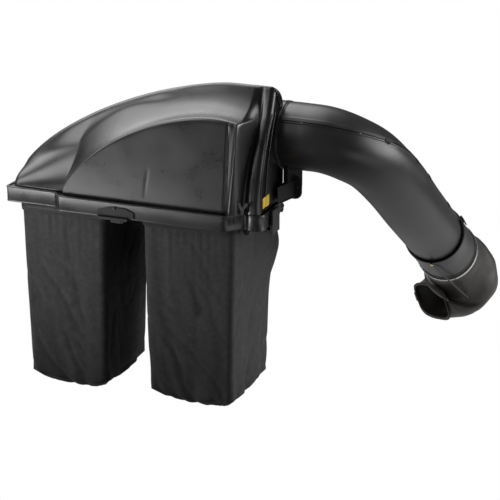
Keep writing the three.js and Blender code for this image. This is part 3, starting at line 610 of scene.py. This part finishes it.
def build_end_strip():
    """A raised bead down the hood's right end, beside a sunk strip."""
    z = np.linspace(6, 352, 60)
    y = END_FOOT + END_RISE * (z / END_TOP) ** END_CURVE
    for name, offset, r in (("end_bead_near", 14, 3.2), ("end_bead_far", 64, 2.6)):
        across = offset * (1 - 0.5 * (z / END_TOP) ** 3)
        path = np.column_stack([np.full(60, DOME_RIGHT - 0.5), y + across, z])
        tube(name, path, r, "hood_plastic", "hood", 10)


# ---- chute ----
CHUTE_POINTS = [
    (524, 325, 238),
    (575, 325, 238),
    (665, 330, 233),
    (741, 362, 203),
    (808, 446, 138),
    (847, 600, 13),
    (868, 800, -147),
    (889, 1100, -367),
    (892, 1190, -431),
]
CHUTE_START, CHUTE_END = 127.0, 116.0  # outer radius at each end
SEAM, SEAM_HALF = 0.88, 0.012  # the seam's angle from the top and half its gap, in radians
CHUTE_WALL = 4
CHUTE_STEPS = 130


def spline(points, count):
    """An even curve through points, by Catmull-Rom."""
    p = np.asarray(points, float)
    ends = np.vstack([2 * p[0] - p[1], p, 2 * p[-1] - p[-2]])
    t = np.linspace(0, 1, 60, endpoint=False)[:, None]
    out = []
    for a, b, c, d in zip(ends, ends[1:], ends[2:], ends[3:]):
        out.append(between(a, b, c, d, t))
    out.append(p[-1:])
    return even_curve(np.vstack(out), count)


chute_path = spline(CHUTE_POINTS, CHUTE_STEPS + 1)


def chute_frames():
    """The chute's path with, at each step, the directions up and to its outer side."""
    tangents = np.gradient(chute_path, axis=0)
    tangents /= np.linalg.norm(tangents, axis=1)[:, None]
    tangents[:4] = (1, 0, 0)
    side = np.cross(tangents, (0, 0, 1.0))
    side /= np.linalg.norm(side, axis=1)[:, None]
    return tangents, side, np.cross(side, tangents)


TANGENT, SIDE, UP = chute_frames()
END_P, END_T, END_S, END_U = chute_path[-1], TANGENT[-1], SIDE[-1], UP[-1]


def at_end(along, side, up):
    return END_P + END_T * along + END_S * side + END_U * up


def chute_half(name, angles, raise_at, stands_for):
    """A half of the chute between two seams, with a lip that stands out along each seam."""
    share = np.linspace(0, 1, CHUTE_STEPS + 1)
    radius = mix(CHUTE_START, CHUTE_END, share)
    rings = []
    for p, up, side, r in zip(chute_path, UP, SIDE, radius):
        reach = r + raise_at(angles)
        rings.append(p + (reach * np.cos(angles))[:, None] * up + (reach * np.sin(angles))[:, None] * side)
    faces = grid_faces(len(rings), len(angles))
    o = piece(name, np.vstack(rings), faces, "chute_plastic", "chute", stands_for, angle=35)
    thicken(o, CHUTE_WALL, False)


def upper_lip(angles):
    edge = SEAM - SEAM_HALF
    return 4.5 * smooth(edge - 0.125, edge - 0.1, np.abs(angles))


def lower_lip(angles):
    low = SEAM + SEAM_HALF
    return 3.5 * (1 - smooth(low + 0.035, low + 0.06, np.minimum(angles, TAU - angles)))


def build_chute():
    """Two halves that meet at seams on either side, with a gap between their lips."""
    edge = SEAM - SEAM_HALF
    middle = np.linspace(-edge + 0.13, edge - 0.13, 30)
    lip = np.array([0.12, 0.108, 0.1, 0.05, 0.012, 0.0])
    upper = np.concatenate([-edge + lip[::-1], middle, edge - lip])
    chute_half("chute_upper", upper, upper_lip, ("chute_cover",))
    low = SEAM + SEAM_HALF
    middle = np.linspace(low + 0.08, TAU - low - 0.08, 70)
    lip = np.array([0.0, 0.01, 0.03, 0.045, 0.055, 0.065])
    lower = np.concatenate([low + lip, middle, TAU - low - lip[::-1]])
    chute_half("chute_lower", lower, lower_lip, ("chute_body",))


def on_end(along, degrees, r):
    a = math.radians(degrees)
    return at_end(along, r * math.sin(a), r * math.cos(a))


def end_rings(profile, sides=96):
    a = np.arange(sides) / sides * TAU
    circle = np.sin(a)[:, None] * END_S + np.cos(a)[:, None] * END_U
    return [END_P + END_T * along + r * circle for along, r in profile]


def build_collar():
    profile = [(-178, 121), (-178, 125), (-176, 127.5), (-168, 128), (-164, 126.4), (-160, 125.4)]
    profile += [(-60, 125.2), (-20, 125.2), (20, 125.4), (34, 125), (36, 124), (36, 121)]
    points, faces = hoop(end_rings(profile))
    piece("collar_sleeve", points, faces, "chute_plastic", "chute", ("chute_collar",), angle=40)


def build_band():
    profile = [(46, 128.8), (45.5, 130.5), (46.5, 131.8), (50, 131.2)]
    profile += [(60, 131.2), (63.5, 131.8), (64.5, 130.5), (64, 128.8)]
    points, faces = hoop(end_rings(profile, 120))
    piece("band_strip", points, faces, "zinc", "chute", ("clamp_band",), angle=60)
    out = on_end(0, 300, 1) - at_end(0, 0, 0)
    axes = (END_T, np.cross(out, END_T), out)
    spans = ((-8, 8), (-7, 7), (-1, 11))
    rounded_box("band_lug", on_end(55, 300, 131), axes, spans, 1.5, "zinc", "chute", ("clamp_band",))


def bend(inner, outer, y, degrees, half_wide, power):
    """A boot section from its inner and outer edge in (x, z), its middle's y and its turn towards -Y."""
    (x0, z0), (x1, z1) = inner, outer
    length = math.hypot(x1 - x0, z1 - z0)
    dx, dz = (x1 - x0) / length, (z1 - z0) / length
    turn = math.radians(degrees)
    facing = (dz * math.cos(turn), -math.sin(turn), -dx * math.cos(turn))
    return ((x0 + x1) / 2, y, (z0 + z1) / 2), facing, half_wide, length / 2, power


BOOT_STATIONS = [  # centre, facing, half width, half height, squareness
    (at_end(30, 0, 0), END_T, 126.6, 126.6, 2.0),
    (at_end(44, 0, 0), END_T, 127.4, 127.4, 2.0),
    (at_end(70, 0, 0), END_T, 127.4, 127.4, 2.0),
    (at_end(84, 1, 0), END_T, 130, 130, 2.0),
    (at_end(150, 4, 0), END_T, 131, 132, 2.0),
    bend((772, -535), (1048, -584), 1362, -53, 138, 2.1),
    bend((772, -560), (1066, -652), 1392, -42, 142, 2.3),
    bend((774, -586), (1048, -720), 1400, -18, 142, 2.5),
    bend((772, -612), (972, -790), 1386, 10, 138, 3),
    bend((777, -662), (842, -818), 1354, 45, 128, 3.6),
    bend((774, -665), (832, -816), 1350, 47, 128, 4),
]


def boot_rings(steps, sides):
    rows = np.array([[*c, *n, w, h, p] for c, n, w, h, p in BOOT_STATIONS], float)
    rows = np.vstack([rows[:1] * 2 - rows[1:2], rows, rows[-1:] * 2 - rows[-2:-1]])
    rings = []
    for at in np.linspace(0, len(BOOT_STATIONS) - 1, steps):
        k = min(int(at), len(BOOT_STATIONS) - 2)
        row = between(*rows[k : k + 4], at - k)
        centre, facing, (half_wide, half_high, power) = row[:3], row[3:6], row[6:]
        n = facing / np.linalg.norm(facing)
        wide = np.array([0, 1.0, 0]) - n * n[1]
        wide /= np.linalg.norm(wide)
        high = np.cross(n, wide)
        angle = np.arange(sides) / sides * TAU
        cos, sin = np.cos(angle), np.sin(angle)
        square = (np.abs(cos) ** power + np.abs(sin) ** power) ** (-1 / power)
        across, along = (half_wide * square * cos)[:, None], (half_high * square * sin)[:, None]
        rings.append(centre + across * wide + along * high)
    return rings


BOOT_STEPS, BOOT_SIDES, BOOT_WALL = 90, 112, 5


def build_boot():
    """Soft rubber: folds across the inside of the bend, slight hollows and a rolled mouth."""
    rings = boot_rings(BOOT_STEPS, BOOT_SIDES)
    centre_line = [r.mean(0) for r in rings]
    points = []
    inside = np.array([-0.75, -0.35, -0.25])
    for j, (ring, centre) in enumerate(zip(rings, centre_line)):
        share = j / (len(rings) - 1)
        for p in ring:
            out = (p - centre) / np.linalg.norm(p - centre)
            facing = max(0.0, float(out @ inside))
            folded = float(smooth(0.42, 0.6, share) * (1 - smooth(0.85, 0.97, share)))
            fold = 4.5 * facing * math.sin(share * 44) * folded
            soft = noise.noise(Vector(p) * 0.011) * 7 * float(smooth(0.3, 0.55, share))
            fine = noise.noise(Vector(p) * 0.035 + Vector((5, 1, 2))) * 1.6
            fine *= float(smooth(0.28, 0.5, share))
            lip = 4.5 * math.exp(-(((share - 0.985) / 0.012) ** 2))
            ridge = 2.5 * math.exp(-(((share - 0.93) / 0.012) ** 2))
            points.append(p + out * (fold + soft + fine + lip - ridge * 0.6))
    faces = grid_faces(BOOT_STEPS, BOOT_SIDES, False, True)
    o = piece("boot_skin", points, faces, "boot_rubber", "chute", ("boot",), angle=70)
    thicken(o, BOOT_WALL, False)


def build_tab():
    """A pull tab on the far lip of the boot's mouth."""
    ring = boot_rings(2, 4)[-1]
    lip, quarter, opposite = ring[0], ring[1], ring[2]
    wide = (lip - opposite) / np.linalg.norm(lip - opposite)
    high = quarter - (lip + opposite) / 2
    high /= np.linalg.norm(high)
    axes = (wide, high, np.cross(wide, high))
    spans = ((-12, 2), (-34, 8), (-4, 12))
    rounded_box("boot_pull", lip, axes, spans, 3, "boot_rubber", "chute", ("boot_tab",))


def build_support():
    """Beads along the near face of the box beside the rim."""
    for name, z in (("support_bead_top", 69), ("support_bead_low", 6)):
        tube(name, [(523, 192, z), (548, 306, z)], 3.4, "trim_plastic", "frame", 12)


# ---- bags ----
BAG_NEAR, BAG_FAR, BAG_TOP, BAG_BOTTOM = 43.0, 445.0, -72.0, -760.0
BAG_SIDES = {"left": (-478.0, -119.0), "right": (38.0, 411.0)}
BAG_DOWN, BAG_ROUND, BAG_FLOOR = 70, 150, 14  # rings down the side, points round, rings in the floor
BAG_SAG = 20
BELLY = 18  # how far the middle of the bottom hangs below its edge
BAG_CLOTH = 1.5
FOLD_SEED = {"left": 3.1, "right": 8.7}
BAG_FLARE = 36  # the far right corner stands out a little way under the rim


def bag_ring(x0, x1, share, grow=0.0):
    """A rounded rectangle of cloth at a share of the bag's height."""
    pull = 10 * math.sin(share * math.pi / 2)
    left, right = x0 + 0.4 * pull - grow, x1 - pull + grow
    near, far = BAG_NEAR - grow, BAG_FAR - 12 * share + grow
    r = mix(20.0, 26.0, share)
    corners = [(right - r, near + r, -90), (right - r, far - r, 0)]
    corners += [(left + r, far - r, 90), (left + r, near + r, 180)]
    loop = np.vstack([arc_points(cx, cy, r, a, a + 90, 9) for cx, cy, a in corners])
    loop = np.vstack([loop, loop[:1]])
    flare = BAG_FLARE * math.exp(-(((share - 0.23) / 0.15) ** 2))
    away = smooth(near, far, loop[:, 1]) * smooth(left, right, loop[:, 0])
    loop[:, 0] += flare * away
    return even_curve(np.column_stack([loop, np.zeros(len(loop))]), BAG_ROUND + 1)[:-1]


def folds(p, share, seed):
    """How far cloth stands out at a place: slow billows, slanted creases and gathers under the hem."""
    v = Vector((p[0] * 0.004 + seed, p[1] * 0.004, p[2] * 0.0018))
    billow = 16 * noise.noise(v) * share**0.5
    aslant = Vector((p[0] * 0.009 + p[2] * 0.005, p[1] * 0.009 - p[2] * 0.004 + seed, p[2] * 0.0025))
    slant = noise.noise(aslant)
    crease = -11 * (max(0.0, 0.2 - abs(slant)) / 0.2) ** 1.5 * share**0.6
    gather = 3.2 * math.sin((p[0] + p[1]) * 0.2 + seed) * math.exp(-share * 6)
    return billow + crease + gather


def bag_sides(x0, x1, seed):
    """Rings of cloth from the bag's top down to its bottom edge, which sags between the corners."""
    rings = []
    for j in range(BAG_DOWN + 1):
        share = j / BAG_DOWN
        ring = bag_ring(x0, x1, share)
        centre = ring.mean(0)
        along = np.abs(ring[:, :2] - centre[:2]) / np.abs(ring[:, :2] - centre[:2]).max(0)
        sag = BAG_SAG * share**4 * (1 - along.min(1) ** 2)
        ring[:, 2] = mix(BAG_TOP, BAG_BOTTOM, share) - sag
        centre = ring.mean(0)
        free = float(smooth(0.0, 0.06, share))
        for i, p in enumerate(ring):
            out = np.array([p[0] - centre[0], p[1] - centre[1], 0])
            out /= max(np.linalg.norm(out), 1)
            square = 1 - 0.6 * min(1, abs(abs(out[0]) - abs(out[1])) ** 0.5)
            ring[i] = p + out * folds(p, share, seed) * free * (1.3 - square)
        rings.append(ring)
    return rings


def bag_floor(last):
    """Rings that close the bag's bottom, lower and slightly puckered towards the middle."""
    centre = last.mean(0)
    rings = []
    for k in range(1, BAG_FLOOR):
        t = k / BAG_FLOOR
        ring = mix(last, centre, t)
        ring[:, 2] = last[:, 2] * (1 - t) + centre[2] * t - BELLY * math.sin(t * math.pi / 2)
        ring[:, 2] += 3 * np.sin(np.arange(BAG_ROUND) * 0.3 + k) * (1 - t)
        rings.append(ring)
    return rings


def build_bag(side):
    x0, x1 = BAG_SIDES[side]
    rings = bag_sides(x0, x1, FOLD_SEED[side])
    rings += bag_floor(rings[-1])
    points = np.vstack(rings + [rings[-1].mean(0)])
    faces = grid_faces(len(rings), BAG_ROUND, False, True)
    base = (len(rings) - 1) * BAG_ROUND
    faces += [(base + i, base + (i + 1) % BAG_ROUND, len(points) - 1) for i in range(BAG_ROUND)]
    o = piece(f"bag_cloth_{side}", points, faces, "bag_fabric", f"{side}_bag", (f"bag_{side}",))
    drape(o)
    thicken(o, BAG_CLOTH, False)
    build_hem(side, x0, x1)


CLOTH_FRAMES = 18
CLOTH_LIMIT = 0.03  # metres a point may move
CLOTH_HOLD = 0.05  # how firmly the cloth below the hem is held to the shape it starts from
CLOTH_SIDEWAYS = 0.2  # the share of the sideways move that is kept, so that the sides aren't drawn in
HELD_DEPTH = 0.02


def drape(o):
    """Lets the bag hang for a short while from its top, then keeps the shape it took."""
    held = o.vertex_groups.new(name="held")
    top = max(v.co.z for v in o.data.vertices)
    for v in o.data.vertices:
        depth = top - v.co.z
        held.add([v.index], 1.0 if depth < HELD_DEPTH else CLOTH_HOLD, "REPLACE")
    m = o.modifiers.new("cloth", "CLOTH")
    s = m.settings
    s.quality = 6
    s.mass = 0.12
    s.tension_stiffness = s.compression_stiffness = 30
    s.shear_stiffness = 12
    s.bending_stiffness = 1.5
    s.vertex_group_mass = "held"
    s.use_pressure = True
    s.uniform_pressure_force = 1.6
    m.collision_settings.use_self_collision = False
    m.point_cache.frame_start = 1
    m.point_cache.frame_end = CLOTH_FRAMES
    scene = bpy.context.scene
    for f in range(1, CLOTH_FRAMES + 1):
        scene.frame_set(f)
    deps = bpy.context.evaluated_depsgraph_get()
    settled = [v.co.copy() for v in o.evaluated_get(deps).data.vertices]
    o.modifiers.remove(m)
    for v, co in zip(o.data.vertices, settled):
        move = (co - v.co) * Vector((CLOTH_SIDEWAYS, CLOTH_SIDEWAYS, 1))
        if move.length > CLOTH_LIMIT:
            move *= CLOTH_LIMIT / move.length
        v.co += move
    scene.frame_set(1)


def build_hem(side, x0, x1):
    """A bound edge that wraps the rod at the bag's top."""
    profile = [(1.5, -64), (4.5, -63), (5.5, -70), (4, -88), (1.8, -92), (1.2, -90)]
    rings = []
    for grow, z in profile:
        ring = bag_ring(x0, x1, 0.0, grow)
        ring[:, 2] = z
        rings.append(ring)
    points, faces = hoop(rings)
    piece(f"bag_hem_{side}", points, faces, "bag_fabric", f"{side}_bag", (), MAT["bag_hem"], angle=60)


# ---- the CAD pieces shown as they are ----
PLAIN_EDGE = 0.8
EDGE = {  # the rounding of an edge, where it isn't the plain one
    "chute_support_box": 2.5,
    "chute_saddle": 3,
    "latch_handle": 1.6,
    "collar_latch": 1.4,
    "hitch_plate": 1.5,
}
SHARP = 45
REPLACED = ("hood_", "bag_left", "bag_right", "boot", "chute_body", "chute_cover")


def dress_nodes():
    for part in frame["record"]["subparts"]:
        o = NODES[part["node"]]
        o.data.materials.clear()
        o.data.materials.append(MAT[part["material_slot"]])
        weld = o.modifiers.new("weld", "WELD")
        weld.merge_threshold = 1e-6
        o.data.shade_smooth()
        sharpen(o.data, SHARP)
        if not part["node"].startswith(REPLACED):
            round_edges(o, EDGE.get(part["node"], PLAIN_EDGE), 2, SHARP)


dress_nodes()
build_dome()
build_neck()
build_rim()
build_rim_marks()
build_end_strip()
build_chute()
build_collar()
build_band()
build_boot()
build_tab()
build_support()
build_bag("left")
build_bag("right")

# ---- stage, light and camera ----
AZIMUTH, ELEVATION, LENS = math.radians(22), math.radians(19), 129.6
CAMERA_FROM_ORIGIN = (2823, -5771, 2026)
SKY_BASE = 0.07
# each patch: azimuth from -Y towards +X, elevation, angle of full light, angle where it ends, strength
SKY = [
    (-130, 46, 17, 35, 4.2),
    (112, 7, 14, 32, 7.6),
    (-53, 27, 11, 25, 5.6),
    (-90, 72, 16, 28, 2.3),
]
FLOOR_SIZE = 60
FLOOR_DROP = 0.045  # the floor lies clear of the boot's lowest edge
FLOOR_BASE = 0.12
FLOOR_GLOWS = [  # centre, distance of full light, distance where it ends, strength
    ((-1620, -1560, 0), 0.35, 1.2, 14.0),
    ((1700, 1300, 0), 0.4, 2.0, 0.6),
    ((4700, -1500, 0), 1.2, 3.0, 1.2),
]


def add_to(tree, total, value, base):
    """The running total of some values on a base."""
    add = tree.nodes.new("ShaderNodeMath")
    add.operation = "ADD"
    add.inputs[1].default_value = base
    tree.links.new(value, add.inputs[0])
    if total is not None:
        tree.links.new(total, add.inputs[1])
    return add.outputs["Value"]


def white_to_camera(tree, kind, out):
    """Shows pure white to the camera; the shader returned lights every other ray."""
    share = tree.nodes.new("ShaderNodeMixShader")
    seen = tree.nodes.new(kind)
    seen.inputs["Color"].default_value = (1, 1, 1, 1)
    felt = tree.nodes.new(kind)
    rays = tree.nodes.new("ShaderNodeLightPath")
    tree.links.new(rays.outputs["Is Camera Ray"], share.inputs["Fac"])
    tree.links.new(felt.outputs[0], share.inputs[1])
    tree.links.new(seen.outputs[0], share.inputs[2])
    tree.links.new(share.outputs["Shader"], out.inputs["Surface"])
    return felt


def floor_glow(tree, position, hot, near, far, strength):
    """Light from a patch of floor: full within one distance of a spot, none beyond another."""
    shift = tree.nodes.new("ShaderNodeVectorMath")
    shift.operation = "SUBTRACT"
    shift.inputs[1].default_value = (hot.x, hot.y, 0)
    tree.links.new(position, shift.inputs[0])
    distance = tree.nodes.new("ShaderNodeVectorMath")
    distance.operation = "LENGTH"
    tree.links.new(shift.outputs["Vector"], distance.inputs[0])
    fall = tree.nodes.new("ShaderNodeMapRange")
    fall.interpolation_type = "SMOOTHSTEP"
    fall.inputs["From Min"].default_value = near
    fall.inputs["From Max"].default_value = far
    fall.inputs["To Min"].default_value = strength
    fall.inputs["To Max"].default_value = 0.0
    tree.links.new(distance.outputs["Value"], fall.inputs["Value"])
    return fall.outputs["Result"]


def build_stage():
    """A wide white floor with soft glows in it that only reflections and bounces can see."""
    floor_z = CAD_BOX[0].z - FLOOR_DROP
    middle = (CAD_BOX[0] + CAD_BOX[1]) / 2
    bpy.ops.mesh.primitive_plane_add(size=FLOOR_SIZE, location=(middle.x, middle.y, floor_z))
    floor = bpy.context.object
    floor.name = "floor"
    m = bpy.data.materials.new("floor")
    m.use_nodes = True
    tree = m.node_tree
    tree.nodes.clear()
    felt = white_to_camera(tree, "ShaderNodeEmission", tree.nodes.new("ShaderNodeOutputMaterial"))
    coord = tree.nodes.new("ShaderNodeTexCoord")
    total = None
    for centre, near, far, strength in FLOOR_GLOWS:
        hot = Vector(place(centre)) - floor.location
        glow = floor_glow(tree, coord.outputs["Object"], hot, near, far, strength)
        total = add_to(tree, total, glow, FLOOR_BASE)
    tree.links.new(total, felt.inputs["Strength"])
    floor.data.materials.append(m)


def world_glow(tree, direction, azimuth, elevation, inner, outer, strength):
    """Light from a patch of sky: full within one angle of a direction, none beyond another."""
    a, e = math.radians(azimuth), math.radians(elevation)
    dot = tree.nodes.new("ShaderNodeVectorMath")
    dot.operation = "DOT_PRODUCT"
    dot.inputs[1].default_value = (math.sin(a) * math.cos(e), -math.cos(a) * math.cos(e), math.sin(e))
    tree.links.new(direction, dot.inputs[0])
    patch = tree.nodes.new("ShaderNodeMapRange")
    patch.interpolation_type = "SMOOTHSTEP"
    patch.inputs["From Min"].default_value = math.cos(math.radians(outer))
    patch.inputs["From Max"].default_value = math.cos(math.radians(inner))
    patch.inputs["To Max"].default_value = strength
    tree.links.new(dot.outputs["Value"], patch.inputs["Value"])
    return patch.outputs["Result"]


def build_world():
    """White to the camera; to every other ray a dim room with soft bright patches."""
    world = bpy.data.worlds.new("studio")
    bpy.context.scene.world = world
    world.use_nodes = True
    tree = world.node_tree
    tree.nodes.clear()
    felt = white_to_camera(tree, "ShaderNodeBackground", tree.nodes.new("ShaderNodeOutputWorld"))
    coord = tree.nodes.new("ShaderNodeTexCoord")
    total = None
    for patch in SKY:
        total = add_to(tree, total, world_glow(tree, coord.outputs["Generated"], *patch), SKY_BASE)
    tree.links.new(total, felt.inputs["Strength"])


def build_camera():
    data = bpy.data.cameras.new("camera")
    data.lens = LENS
    data.clip_end = 100
    o = bpy.data.objects.new("camera", data)
    bpy.context.scene.collection.objects.link(o)
    o.location = Vector(place(CAMERA_FROM_ORIGIN))
    back = Vector(
        (
            math.sin(AZIMUTH) * math.cos(ELEVATION),
            -math.cos(AZIMUTH) * math.cos(ELEVATION),
            math.sin(ELEVATION),
        )
    )
    o.rotation_euler = (-back).to_track_quat("-Z", "Y").to_euler()
    bpy.context.scene.camera = o


build_stage()
build_world()
build_camera()
bpy.context.scene.view_settings.view_transform = "Standard"
